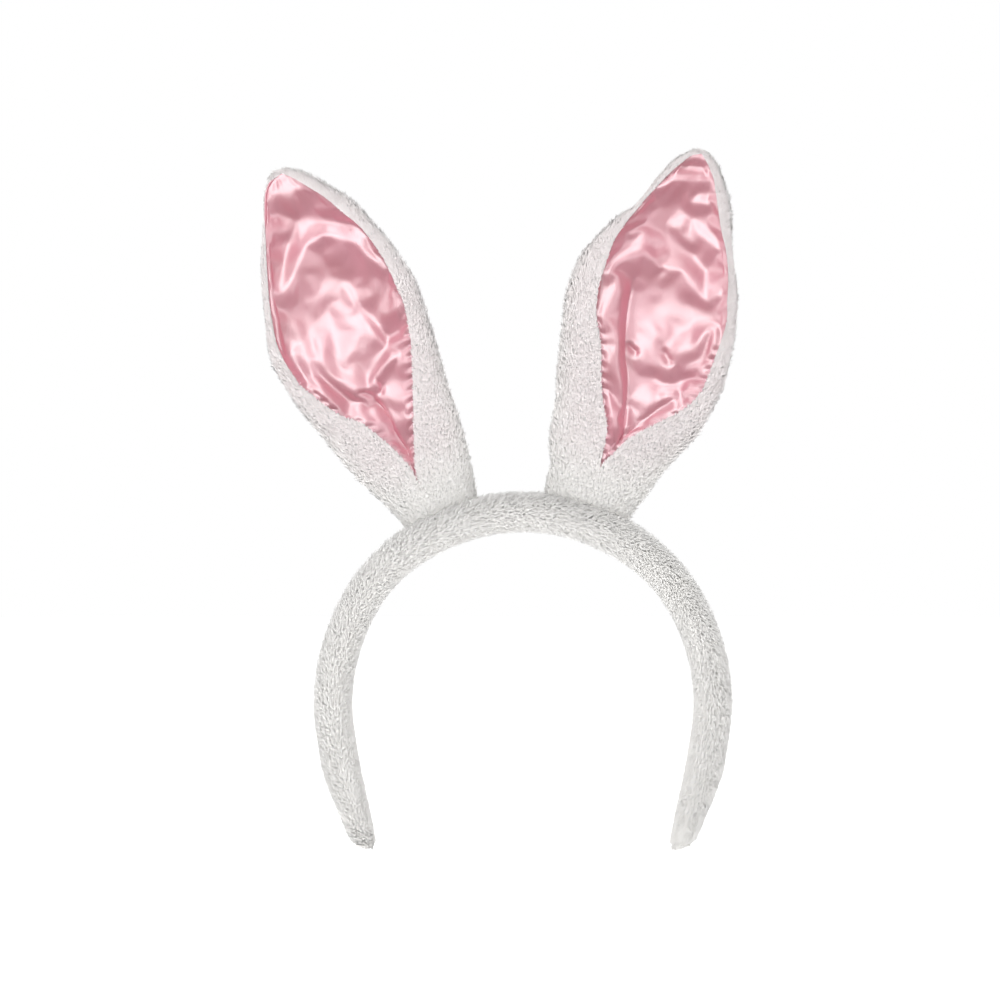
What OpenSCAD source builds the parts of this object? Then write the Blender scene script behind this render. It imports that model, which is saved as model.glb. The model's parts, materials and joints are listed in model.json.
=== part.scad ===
// Plush bunny ears on a sprung alice band.
// The front faces -Y and +Z is up. The origin is the centre of the arch's inner face.
// Each ear has its own frame: x runs across the ear, y towards its back, z from base to tip.

/* [Headband] */
// Radius of the arch's inner face, where the head goes
band_r = 64; // [56:1:72]
// Width of the plush sleeve, front to back
band_w = 25; // [22:1:30]
// Width of the flat inner face that lies on the head
grip_w = 18; // [14:1:20]
// Thickness of the sleeve and core together, radially
band_t = 14.5; // [13.5:0.5:18]
// Angle from the top at which the arch runs out into straight ends
arch_angle = 99; // [90:1:110]
// Length of each straight end
end_length = 46; // [30:1:55]
// Angle from the top at which each arm flexes
flex_angle = 58; // [56:1:70]

/* [Spring core] */
// Thickness of the plastic core
core_t = 2; // [1.5:0.1:2.4]
// Width of the plastic core
core_w = 13; // [10:0.5:14]
// Distance of the core's inner side from the arch's inner face
core_depth = 4; // [3.5:0.1:4.5]

/* [Ears] */
// Length of an ear above its base crease
ear_length = 141; // [120:1:160]
// Height of an ear's widest place above its base crease
widest_height = 74; // [60:1:85]
// Half width of an ear at its base
base_half_width = 15.5; // [13:0.5:18]
// Half depth of an ear's pinched base
base_half_depth = 6; // [5:0.5:6.5]
// Half depth of an ear at its widest place
ear_half_depth = 9.5; // [8:0.5:12]
// How far an ear's edges curl forwards
cup_depth = 5; // [2:0.5:7]
// Sideways sway of an ear's middle line
sway = 2.6; // [0:0.2:4]
// Height at which the wire in an ear is bent
bend_height = 72; // [60:1:85]
// Distance of an ear's base crease from the arch's centre
crease_r = 80; // [79:0.5:82]

/* [Left ear] */
// Place of the left ear on the arch, from the top
left_place = -25.3; // [-30:0.1:-18]
// Lean of the left ear from upright
left_lean = -24.1; // [-35:0.1:-10]
// Half width of the left ear at its widest
left_half_width = 31.3; // [26:0.1:36]

/* [Right ear] */
// Place of the right ear on the arch, from the top
right_place = 20.2; // [18:0.1:30]
// Lean of the right ear from upright
right_lean = 16.7; // [10:0.1:35]
// Half width of the right ear at its widest
right_half_width = 33.5; // [26:0.1:36]

/* [Plush] */
// Thickness of the plush, backing and pile together
plush_t = 4.5; // [3:0.5:6]
// Share of a narrow ear's half depth that the plush may take
plush_share = 0.42; // [0.3:0.01:0.5]

/* [Lining] */
// Height at which the satin starts to show
satin_start = 13; // [8:1:20]
// Height of the satin's widest place
satin_widest = 81; // [70:1:90]
// Height at which the satin ends
satin_end = 138; // [130:1:139]
// Half width of the satin as a share of the ear's
satin_share = 0.8; // [0.7:0.01:0.82]
// How far the satin's middle lies towards the ear's outer edge
satin_shift = 1.6; // [0:0.1:1.8]
// Thickness of the satin
satin_t = 0.5; // [0.4:0.1:0.6]
// How far the satin dips behind its edges
satin_dip = 4; // [2:0.5:5]
// Thickness of the wadding behind the satin
wadding_t = 2.4; // [1:0.2:2.6]

/* [Wire and thread] */
// Diameter of the wire round the edge of an ear
wire_d = 1.2; // [0.8:0.1:1.4]
// Diameter of the sewing thread
thread_d = 0.7; // [0.5:0.1:0.8]

/* [Hidden] */

$fn = 96;
LEFT = -1;
RIGHT = 1;

plush_white = [0.95, 0.94, 0.93];
satin_pink = [0.91, 0.72, 0.75];
thread_white = [0.97, 0.96, 0.95];
thread_pink = [0.88, 0.62, 0.67];
core_ivory = [0.9, 0.89, 0.86];
wire_steel = [0.72, 0.73, 0.75];
tape_cream = [0.93, 0.88, 0.76];
wadding_white = [0.98, 0.98, 0.97];

slack = 0.3;                       // gap between loose layers
gap = 0.2;                         // gap between the arms and the crown
core_r = band_r + core_depth;      // inner side of the core
tape_t = 0.3;                      // thickness of the tape round the core
cavity_in = core_r - 2 * tape_t;   // hollow of the sleeve, inner side
cavity_out = core_r + core_t + wire_d + 2 * tape_t;
cavity_w = core_w + 4 * tape_t;
core_margin = 5;                   // plush beyond the core at each tip
seam_y = band_w / 2 - 2.6;         // sleeve's closing seam, on its rear inner edge
seam_r = band_r + 1.1;
trough_r = base_half_depth + 0.5;  // seat of an ear's base, with room to tilt
wire_clear = wire_d / 2 + 0.8;     // wire's centre from the plush inside
wire_arc_height = 0.84 * ear_length;  // where the wire turns over below the tip
wire_arc_rise = 5;                 // height of that turn
rim_share = 0.94;                  // most of the plush's inner half width that the satin may fill
wadding_reach = 62;                // angle round the section that the wadding covers
bend_zone = 6;                     // half height of the plush that bends
arc_steps = 16;                    // facets round a section
sheet_steps = 12;                  // facets across the lining
seam_stop = 3;                     // the seam thread stops this far from the bend

// ---- headband ----

// Section of the sleeve as [radius, width] points: a flat grip face and a domed outside
function sleeve_section() =
  let (mid = band_r + band_t * 0.42, inner = mid - band_r, outer = band_r + band_t - mid)
  concat(
    [[band_r, -grip_w / 2], [band_r, grip_w / 2]],
    [for (a = [-45 : 9 : 225])
      [mid + (sin(a) > 0 ? outer : inner) * sign(sin(a)) * pow(abs(sin(a)), 0.8),
       band_w / 2 * sign(cos(a)) * pow(abs(cos(a)), 0.75)]]);

// Turns a [radius, width] section about the arch's axis, between two angles from the top
module on_arch(from, to) {
  rotate([90, 0, 0])
    rotate_extrude(angle = to - from, start = 90 - to)
      children();
}

// Frame of the right arm: x is the radius, and the arc meets the straight end at y = 0
module arm_frame() {
  rotate([90, 0, 0])
    rotate(90 - arch_angle)
      children();
}

// A [radius, width] section along the right arm's arc, from the straight end up to an angle from the top
module arm_arc(to) {
  rotate_extrude(angle = arch_angle - to)
    children();
}

// The section down the straight end of the right arm
module arm_end(length) {
  rotate([90, 0, 0])
    linear_extrude(height = length)
      children();
}

module core_profile() {
  translate([core_r, -core_w / 2])
    square([core_t, core_w]);
}

module cavity_profile() {
  translate([cavity_in, -cavity_w / 2])
    square([cavity_out - cavity_in, cavity_w]);
}

module sleeve_profile() {
  polygon(sleeve_section());
}

// Rounds the lower end of the right arm: fully across its width, and on its outer side
module end_rounding(length, width) {
  intersection() {
    translate([band_r, -length + width / 2, 0])
      rotate([0, 90, 0])
        union() {
          cylinder(d = width, h = 4 * band_t, center = true);
          translate([-width / 2, 0, -2 * band_t])
            cube([width, 2 * length, 4 * band_t]);
        }
    translate([band_r, -length + band_t, -width])
      union() {
        cylinder(r = band_t, h = 2 * width);
        translate([-band_t, 0, 0])
          cube([2 * band_t, 2 * length, 2 * width]);
      }
  }
}

module right_arm_sleeve_solid() {
  arm_frame()
    difference() {
      union() {
        arm_arc(flex_angle + gap)
          sleeve_profile();
        intersection() {
          arm_end(end_length)
            sleeve_profile();
          end_rounding(end_length, band_w + slack);
        }
      }
      arm_arc(flex_angle - 1)
        cavity_profile();
      arm_end(end_length - core_margin + 1)
        cavity_profile();
    }
}

module right_arm_core_solid() {
  arm_frame()
    union() {
      arm_arc(flex_angle + gap)
        core_profile();
      intersection() {
        arm_end(end_length - core_margin)
          core_profile();
        end_rounding(end_length - core_margin, core_w + slack);
      }
    }
}

module seam_profile() {
  translate([seam_r, -seam_y])
    circle(d = thread_d);
}

module right_arm_seam_solid() {
  arm_frame()
    union() {
      arm_arc(flex_angle + 1)
        seam_profile();
      arm_end(end_length - core_margin)
        seam_profile();
    }
}

// Whipped stitches that close the sleeve round the right arm's tip
module right_tip_stitch_solids() {
  count = 5;
  arm_frame()
    for (i = [0 : count - 1])
      translate([core_r, -end_length + 2.2 + 0.12 * pow(i - 2, 2), (i - 2) * 2.6])
        rotate([0, 90, 12])
          cylinder(d = thread_d, h = 5, center = true);
}

// ---- ears ----

function widest(side) = side == LEFT ? left_half_width : right_half_width;
function place(side) = side == LEFT ? left_place : right_place;
function lean(side) = side == LEFT ? left_lean : right_lean;

// Rises from 0 at one height to 1 at another, and stays there
function rise(z, from, to, power) = pow(sin(90 * min(1, max(0, (z - from) / (to - from)))), power);

// Falls from 1 at one height to 0 at another
function fall(z, from, to, power) = pow(cos(90 * min(1, max(0, (z - from) / (to - from)))), power);

function half_width(side, z) =
  z < widest_height
    ? base_half_width + (widest(side) - base_half_width) * rise(z, 0, widest_height, 1.3)
    : widest(side) * fall(z, widest_height, ear_length, 0.75);

function half_depth(z) =
  z < 0 ? sqrt(pow(base_half_depth, 2) - z * z)
  : z < widest_height
    ? base_half_depth + (ear_half_depth - base_half_depth) * rise(z, 0, widest_height, 1)
    : ear_half_depth * fall(z, widest_height, ear_length, 0.6);

function cup(z) = cup_depth * sin(180 * max(0, z) / ear_length);

function middle(side, z) =
  -side * sway * cos(360 * max(0, z) / ear_length) * (1 - max(0, z) / (2 * ear_length));

function skin(z) = min(plush_t, plush_share * half_depth(z));

// Half width of the satin, from the ear's middle line out to one edge (edge = -1 or 1)
function satin_half(side, z, edge) =
  let (most = satin_share * widest(side),
       half = z < satin_widest ? most * rise(z, satin_start, satin_widest, 1.4)
                               : most * fall(z, satin_widest, satin_end, 0.75),
       shift = satin_shift * sin(180 * min(1, max(0, (z - satin_start) / (satin_end - satin_start)))))
  max(0.4, min(rim_share * (half_width(side, z) - skin(z)), half + side * edge * shift));

// Angle round the section, from the back, at which the plush stops
function rim_angle(side, z, edge) =
  180 - asin(satin_half(side, z, edge) / (half_width(side, z) - skin(z)));

// A point of the ear: psi is the angle round the section from the back, inset the depth below its outside
function ear_point(side, z, psi, inset) =
  [middle(side, z) + (half_width(side, z) - inset) * sin(psi),
   (half_depth(z) - inset) * cos(psi) - cup(z) * pow(sin(psi), 2),
   z];

function steps(from, to, count) = [for (i = [0 : count]) from + (to - from) * i / count];

// Ring of the plush: its outside from edge to edge, and its inside back again
function plush_ring(side, z) =
  let (first = -rim_angle(side, z, -1), last = rim_angle(side, z, 1))
  concat(
    [for (psi = steps(first, last, arc_steps)) ear_point(side, z, psi, 0)],
    [for (psi = steps(last, first, arc_steps)) ear_point(side, z, psi, skin(z))]);

function wadding_ring(side, z) =
  let (front = skin(z) + slack / 2 + wadding_t * rise(z, satin_start - 2, satin_start + 20, 1)
               * fall(z, satin_widest, wire_arc_height + 6, 1))
  concat(
    [for (psi = steps(-wadding_reach, wadding_reach, sheet_steps)) ear_point(side, z, psi, skin(z) + slack)],
    [for (psi = steps(wadding_reach, -wadding_reach, sheet_steps)) ear_point(side, z, psi, front + slack)]);

// Place of the satin's middle layer, across from -1 to 1
function satin_point(side, z, across, offset) =
  let (edge = across < 0 ? -1 : 1,
       rim = ear_point(side, z, edge * rim_angle(side, z, edge), skin(z)),
       dip = satin_dip * rise(z, satin_start, satin_start + 25, 1) * fall(z, satin_widest - 10, satin_end, 0.8))
  [middle(side, z) + across * (satin_half(side, z, edge) - slack),
   rim[1] + dip * (1 - across * across) + offset,
   z];

function satin_ring(side, z) =
  concat(
    [for (across = steps(-1, 1, sheet_steps)) satin_point(side, z, across, satin_t / 2)],
    [for (across = steps(1, -1, sheet_steps)) satin_point(side, z, across, -satin_t / 2)]);

// Loft through rings that each list one face and then the other face back again
module loft(rings) {
  count = len(rings[0]);
  last = (len(rings) - 1) * count;
  sides = [
    for (r = [0 : len(rings) - 2], i = [0 : count - 1])
      let (a = r * count + i, b = r * count + (i + 1) % count)
      each [[a, b, b + count], [a, b + count, a + count]]
  ];
  ends = [
    for (i = [0 : count / 2 - 2])
      let (a = i, b = i + 1, c = count - 2 - i, d = count - 1 - i)
      each [[a, c, b], [a, d, c], [last + a, last + b, last + c], [last + a, last + c, last + d]]
  ];
  polyhedron(points = [for (ring = rings) each ring], faces = concat(sides, ends));
}

// Round tube of 8 sides along a path that stays near one XZ plane
module tube(path, d) {
  count = 8;
  last = len(path) - 1;
  rings = [
    for (i = [0 : last])
      let (along = path[min(last, i + 1)] - path[max(0, i - 1)],
           t = along / norm(along),
           flat = [0, 1, 0] - t[1] * t,
           n = flat / norm(flat),
           s = cross(t, n))
      [for (k = [0 : count - 1])
        path[i] + d / 2 * (cos(360 * k / count) * n + sin(360 * k / count) * s)]
  ];
  sides = [
    for (r = [0 : last - 1], k = [0 : count - 1])
      let (a = r * count + k, b = r * count + (k + 1) % count)
      each [[a, b + count, b], [a, a + count, b + count]]
  ];
  ends = [
    for (k = [1 : count - 2])
      each [[0, k, k + 1], [last * count, last * count + k + 1, last * count + k]]
  ];
  polyhedron(points = [for (ring = rings) each ring], faces = concat(sides, ends));
}

// Puts an ear's own frame on the band
module on_band(side) {
  rotate([0, place(side), 0])
    translate([0, 0, crease_r])
      rotate([0, lean(side) - place(side), 0])
        children();
}

plush_bottom = -base_half_depth + 0.1;
plush_top = ear_length - 0.4;

module ear_plush_lower(side) {
  heights = concat([plush_bottom, -5, -3.5, -1.8], steps(0, bend_height - bend_zone, 10));
  color(plush_white)
    on_band(side)
      loft([for (z = heights) plush_ring(side, z)]);
}

module ear_plush_bend(side) {
  heights = steps(bend_height - bend_zone + gap, bend_height + bend_zone - gap, 4);
  color(plush_white)
    on_band(side)
      loft([for (z = heights) plush_ring(side, z)]);
}

module ear_plush_upper(side) {
  heights = concat(
    steps(bend_height + bend_zone, satin_end - 6, 14),
    [satin_end - 3, satin_end, ear_length - 1.5, plush_top]);
  color(plush_white)
    on_band(side)
      loft([for (z = heights) plush_ring(side, z)]);
}

module ear_satin(side, from, to, count) {
  color(satin_pink)
    on_band(side)
      loft([for (z = steps(from, to, count)) satin_ring(side, z)]);
}

module ear_wadding(side, from, to, count) {
  color(wadding_white)
    on_band(side)
      loft([for (z = steps(from, to, count)) wadding_ring(side, z)]);
}

// The wire lies in the rim's fold, and moves back behind the satin towards the tip
function wire_psi(z) = 92 - 17 * rise(z, bend_height - 10, wire_arc_height, 0.6);

function wire_point(side, edge, z) =
  ear_point(side, z, edge * wire_psi(z), skin(z) + wire_clear);

module ear_wire_lower(side) {
  path_heights = concat([-base_half_depth + 1, -2.5], steps(0, bend_height - wire_d / 2, 12));
  color(wire_steel)
    on_band(side)
      for (edge = [-1, 1])
        tube([for (z = path_heights) wire_point(side, edge, z)], wire_d);
}

// Both legs of the wire above the bend, joined over the top
module ear_wire_upper(side) {
  heights = steps(bend_height + wire_d / 2, wire_arc_height, 8);
  left_top = wire_point(side, -1, wire_arc_height);
  right_top = wire_point(side, 1, wire_arc_height);
  centre = (left_top + right_top) / 2;
  reach = (right_top[0] - left_top[0]) / 2;
  over = [
    for (a = [165 : -15 : 15])
      [centre[0] + reach * cos(a), centre[1] * (1 - 1.3 * sin(a)), centre[2] + wire_arc_rise * sin(a)]
  ];
  color(wire_steel)
    on_band(side)
      tube(concat(
        [for (z = heights) wire_point(side, -1, z)],
        over,
        [for (i = [len(heights) - 1 : -1 : 0]) wire_point(side, 1, heights[i])]), wire_d);
}

// Thread along the satin's edge, just in front of it
function seam_point(side, edge, z) =
  let (half = satin_half(side, z, edge))
  [middle(side, z) + edge * max(0.5, half - 0.9),
   ear_point(side, z, edge * rim_angle(side, z, edge), skin(z))[1] - satin_t / 2 - thread_d / 2 - 0.2,
   z];

module ear_seam(side, from, to, count) {
  color(thread_pink)
    on_band(side)
      for (edge = [-1, 1])
        tube([for (z = steps(from, to, count)) seam_point(side, edge, z)], thread_d);
}

// Where one leg of the wire goes down through the sleeve and lies along the core
function wire_foot(side, edge) = wire_point(side, edge, -base_half_depth + 1)[0];

module ear_wire_ends(side) {
  tail = 8;
  lie_r = core_r + core_t + wire_d / 2 + 0.05;
  color(wire_steel)
    for (edge = [-1, 1]) {
      top = to_world(side, [wire_foot(side, edge), 0, -trough_r - 0.5]);
      turn_angle = atan2(top[0], top[2]);
      tube(concat(
        [top],
        [for (a = [0 : 30 : 90])
          let (angle = turn_angle - edge * (1 - cos(a)) * 2,
               r = lie_r + 2 * (1 - sin(a)))
          [r * sin(angle), 0, r * cos(angle)]],
        [for (k = [1 : 3])
          let (angle = turn_angle - edge * (2 + tail * k / 3))
          [lie_r * sin(angle), 0, lie_r * cos(angle)]]), wire_d);
    }
}

function to_world(side, p) =
  let (a = place(side), l = lean(side))
  [crease_r * sin(a) + p[0] * cos(l) + p[2] * sin(l),
   p[1],
   crease_r * cos(a) - p[0] * sin(l) + p[2] * cos(l)];

module ear_wire_tape(side) {
  half_angle = 13;
  color(tape_cream)
    on_arch(place(side) - half_angle, place(side) + half_angle)
      difference() {
        translate([core_r - tape_t, -core_w / 2 - tape_t])
          square([core_t + wire_d + 0.1 + 2 * tape_t, core_w + 2 * tape_t]);
        translate([core_r, -core_w / 2])
          square([core_t + wire_d + 0.1, core_w]);
      }
}

// Stitches along both sides of the ear's base, sewn into the sleeve beside the trough
module ear_base_stitches(side) {
  count = 7;
  color(thread_white)
    on_band(side)
      for (face = [-1, 1], i = [0 : count - 1])
        translate([middle(side, 0) + (i - (count - 1) / 2) * 4, face * (trough_r + 0.9), -4.6])
          rotate([face * 20, 0, 0])
            cylinder(d = thread_d, h = 4, center = true);
}

// Space in the sleeve for an ear's pinched base and the two ends of its wire
module ear_seat(side) {
  on_band(side) {
    translate([middle(side, 0), 0, 0])
      rotate([0, 90, 0])
        cylinder(r = trough_r, h = 2 * base_half_width + 2 * slack, center = true);
    for (edge = [-1, 1])
      translate([wire_foot(side, edge), 0, -trough_r - 4])
        cylinder(d = wire_d + 2 * slack, h = 5, center = true);
  }
}

// ---- one module for each node ----

module crown_core() {
  color(core_ivory)
    on_arch(-flex_angle, flex_angle)
      core_profile();
}

module right_arm_core() {
  color(core_ivory)
    right_arm_core_solid();
}

module left_arm_core() {
  color(core_ivory)
    mirror([1, 0, 0])
      right_arm_core_solid();
}

module crown_plush_sleeve() {
  color(plush_white)
    difference() {
      on_arch(-flex_angle, flex_angle)
        sleeve_profile();
      on_arch(-flex_angle - 1, flex_angle + 1)
        cavity_profile();
      ear_seat(LEFT);
      ear_seat(RIGHT);
    }
}

module right_arm_plush_sleeve() {
  color(plush_white)
    right_arm_sleeve_solid();
}

module left_arm_plush_sleeve() {
  color(plush_white)
    mirror([1, 0, 0])
      right_arm_sleeve_solid();
}

module crown_seam_thread() {
  color(thread_white)
    on_arch(-flex_angle + 1, flex_angle - 1)
      seam_profile();
}

module right_arm_seam_thread() {
  color(thread_white)
    right_arm_seam_solid();
}

module left_arm_seam_thread() {
  color(thread_white)
    mirror([1, 0, 0])
      right_arm_seam_solid();
}

module right_tip_stitches() {
  color(thread_white)
    right_tip_stitch_solids();
}

module left_tip_stitches() {
  color(thread_white)
    mirror([1, 0, 0])
      right_tip_stitch_solids();
}

crown_core();
left_arm_core();
right_arm_core();
crown_plush_sleeve();
left_arm_plush_sleeve();
right_arm_plush_sleeve();
crown_seam_thread();
left_arm_seam_thread();
right_arm_seam_thread();
left_tip_stitches();
right_tip_stitches();
ear_plush_lower(LEFT);  // left_ear_plush_lower
ear_plush_bend(LEFT);  // left_ear_plush_bend
ear_plush_upper(LEFT);  // left_ear_plush_upper
ear_satin(LEFT, satin_start + 2, bend_height - 0.1, 10);  // left_ear_satin_lower
ear_satin(LEFT, bend_height + 0.1, satin_end - 2, 16);  // left_ear_satin_upper
ear_wadding(LEFT, satin_start + 5, bend_height - 0.1, 8);  // left_ear_wadding_lower
ear_wadding(LEFT, bend_height + 0.1, wire_arc_height - 4, 7);  // left_ear_wadding_upper
ear_wire_lower(LEFT);  // left_ear_wire_lower
ear_wire_upper(LEFT);  // left_ear_wire_upper
ear_seam(LEFT, satin_start + 6, bend_height - seam_stop, 10);  // left_ear_seam_lower
ear_seam(LEFT, bend_height + seam_stop, satin_end - 3, 12);  // left_ear_seam_upper
ear_wire_ends(LEFT);  // left_ear_wire_ends
ear_wire_tape(LEFT);  // left_ear_wire_tape
ear_base_stitches(LEFT);  // left_ear_base_stitches
ear_plush_lower(RIGHT);  // right_ear_plush_lower
ear_plush_bend(RIGHT);  // right_ear_plush_bend
ear_plush_upper(RIGHT);  // right_ear_plush_upper
ear_satin(RIGHT, satin_start + 2, bend_height - 0.1, 10);  // right_ear_satin_lower
ear_satin(RIGHT, bend_height + 0.1, satin_end - 2, 16);  // right_ear_satin_upper
ear_wadding(RIGHT, satin_start + 5, bend_height - 0.1, 8);  // right_ear_wadding_lower
ear_wadding(RIGHT, bend_height + 0.1, wire_arc_height - 4, 7);  // right_ear_wadding_upper
ear_wire_lower(RIGHT);  // right_ear_wire_lower
ear_wire_upper(RIGHT);  // right_ear_wire_upper
ear_seam(RIGHT, satin_start + 6, bend_height - seam_stop, 10);  // right_ear_seam_lower
ear_seam(RIGHT, bend_height + seam_stop, satin_end - 3, 12);  // right_ear_seam_upper
ear_wire_ends(RIGHT);  // right_ear_wire_ends
ear_wire_tape(RIGHT);  // right_ear_wire_tape
ear_base_stitches(RIGHT);  // right_ear_base_stitches
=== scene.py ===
import json
import math

import bpy
import numpy as np
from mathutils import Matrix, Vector, kdtree


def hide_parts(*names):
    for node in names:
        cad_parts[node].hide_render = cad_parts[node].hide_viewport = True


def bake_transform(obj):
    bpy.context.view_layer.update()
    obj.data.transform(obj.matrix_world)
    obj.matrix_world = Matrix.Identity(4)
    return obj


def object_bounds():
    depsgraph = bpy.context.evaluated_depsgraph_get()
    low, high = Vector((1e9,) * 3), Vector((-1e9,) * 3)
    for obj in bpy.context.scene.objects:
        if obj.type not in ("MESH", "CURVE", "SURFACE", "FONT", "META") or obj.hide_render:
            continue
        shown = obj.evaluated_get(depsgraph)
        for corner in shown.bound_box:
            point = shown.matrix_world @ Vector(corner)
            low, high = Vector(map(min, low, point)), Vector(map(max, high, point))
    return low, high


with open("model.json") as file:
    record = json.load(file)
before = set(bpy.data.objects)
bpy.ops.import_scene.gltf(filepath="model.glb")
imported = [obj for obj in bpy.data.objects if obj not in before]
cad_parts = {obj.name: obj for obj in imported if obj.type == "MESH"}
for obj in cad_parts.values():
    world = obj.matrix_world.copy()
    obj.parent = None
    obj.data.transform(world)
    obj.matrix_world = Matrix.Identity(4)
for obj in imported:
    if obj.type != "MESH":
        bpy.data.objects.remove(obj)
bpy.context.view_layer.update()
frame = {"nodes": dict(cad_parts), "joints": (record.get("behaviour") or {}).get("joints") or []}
MM = 0.001
BACKWARDS = np.array([0.0, 1.0, 0.0])

# ---- sizes, in millimetres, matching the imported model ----

GRIP_R = 64.0  # inner face of the arch
BAND_T = 14.5  # radial thickness of the sleeve with its pile
BAND_W = 25.0  # width of the sleeve with its pile
ARCH_END = 99.0  # angle from the top where the straight ends begin, in degrees like every angle here
STRAIGHT = 46.0  # length of each straight end
TAPER = 34.0  # length over which a tip gets thinner
TIP_T = 10.0  # radial thickness near the tip
EAR_TOP = 141.0  # height of an ear above its base crease
TIP_PILE = 1.5  # how far the pile stands above the ear's backing at the tip
TIP_CAP = 1.2  # length over which the backing closes at the tip
EAR_SPLIT = 20.0  # height where the base piece meets the main piece
OVERLAP = 1.0  # how far those two pieces overlap
EAR_FOOT = -5.0  # lowest ring of the ear's plush
BEND_FROM = 56.0  # heights between which an ear bends
BEND_TO = 88.0
TILT_FROM = -3.0  # heights between which an ear's base gives way as it tilts
TILT_TO = 15.0
PILE = 2.4  # how far the pile lifts the outline off its backing
CLOTH = 0.9  # thickness of the plush's knitted backing
SHOULDER = 0.8  # how far the sleeve stands further out beside the ears
TIP_TURN = 1.4  # how far an arm's tip turns further inwards
PILE_END = 2.6  # how far the pile stands past the backing at a sleeve's tip
CUP = 5.0  # how far an ear's edges curl forwards
WADDING_REACH = 0.8  # share of an ear's half width that the wadding covers
LIP = 1.6  # how far the plush turns back at the satin's edge
LIP_IN = 0.35  # how far it turns inwards there
SATIN_BACK = 0.9  # how far the satin's top lies below the backing's
WIDEST = 74.0  # height where an ear is deepest
BASE_DEPTH = 4.2  # half depth of the ear's backing at its base crease
BASE_GAIN = 3.2  # what it gains up to the deepest place
TIP_DEPTH = 1.0  # half depth at the tip
TIP_GAIN = 6.4  # what it loses from the deepest place to the tip


# ---- small geometry tools ----

def curve(*points):
    """Smooth curve through (x, y) points that adds no bumps between them."""
    x, y = np.array(points, float).T
    step = np.diff(x)
    slope = np.diff(y) / step
    same = slope[:-1] * slope[1:] > 0
    total = np.where(same, slope[:-1] + slope[1:], 1)
    tangent = np.zeros(len(x))
    tangent[1:-1] = np.where(same, 2 * slope[:-1] * slope[1:] / total, 0)
    tangent[0], tangent[-1] = slope[0], slope[-1]

    def at(q):
        q = np.clip(q, x[0], x[-1])
        i = np.clip(np.searchsorted(x, q, side="right") - 1, 0, len(step) - 1)
        t = (q - x[i]) / step[i]
        return (
            (1 + 2 * t) * (1 - t) ** 2 * y[i]
            + t * (1 - t) ** 2 * step[i] * tangent[i]
            + t * t * (3 - 2 * t) * y[i + 1]
            + t * t * (t - 1) * step[i] * tangent[i + 1]
        )

    return at


def smoothstep(value, low, high):
    t = np.clip((value - low) / (high - low), 0, 1)
    return t * t * (3 - 2 * t)


def unit(vectors):
    return vectors / np.maximum(np.linalg.norm(vectors, axis=-1, keepdims=True), 1e-9)


def rounded_path(points, per_span=8):
    """Catmull-Rom curve through a short list of points."""
    p = np.array(points, float)
    p = np.vstack([2 * p[0] - p[1], p, 2 * p[-1] - p[-2]])
    t = np.linspace(0, 1, per_span, endpoint=False)[:, None]
    spans = [
        0.5 * (2 * b + (c - a) * t + (2 * a - 5 * b + 4 * c - d) * t**2 + (3 * b - a - 3 * c + d) * t**3)
        for a, b, c, d in zip(p, p[1:], p[2:], p[3:])
    ]
    return np.vstack(spans + [p[-2:-1]])


def grid_normals(grid):
    """Unit normals of a rows x columns grid of points."""
    down = np.gradient(grid, axis=0)
    across = np.gradient(grid, axis=1)
    return unit(np.cross(across, down))


def mesh_from_arrays(name, points, corners, sizes, uvs=None):
    """Mesh object from points in millimetres, the faces' corners in a row, and the faces' sizes."""
    mesh = bpy.data.meshes.new(name)
    mesh.vertices.add(len(points))
    mesh.vertices.foreach_set("co", (np.asarray(points) * MM).astype(np.float32).ravel())
    mesh.loops.add(len(corners))
    mesh.loops.foreach_set("vertex_index", corners)
    mesh.polygons.add(len(sizes))
    starts = np.concatenate([[0], np.cumsum(sizes)[:-1]]).astype(np.int32)
    mesh.polygons.foreach_set("loop_start", starts)
    if uvs is not None:
        layer = mesh.uv_layers.new(name="OFBake")
        layer.data.foreach_set("uv", np.asarray(uvs, np.float32).ravel())
    mesh.update(calc_edges=True)
    mesh.validate()
    mesh.polygons.foreach_set("use_smooth", np.ones(len(mesh.polygons), bool))
    piece = bpy.data.objects.new(name, mesh)
    bpy.context.scene.collection.objects.link(piece)
    return piece


def grid_quads(rows, columns):
    """Corners of the faces between a grid's points, numbered row by row."""
    r, c = np.meshgrid(np.arange(rows - 1), np.arange(columns - 1), indexing="ij")
    a = (r * columns + c).ravel()
    return np.stack([a, a + 1, a + columns + 1, a + columns], axis=1)


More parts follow.
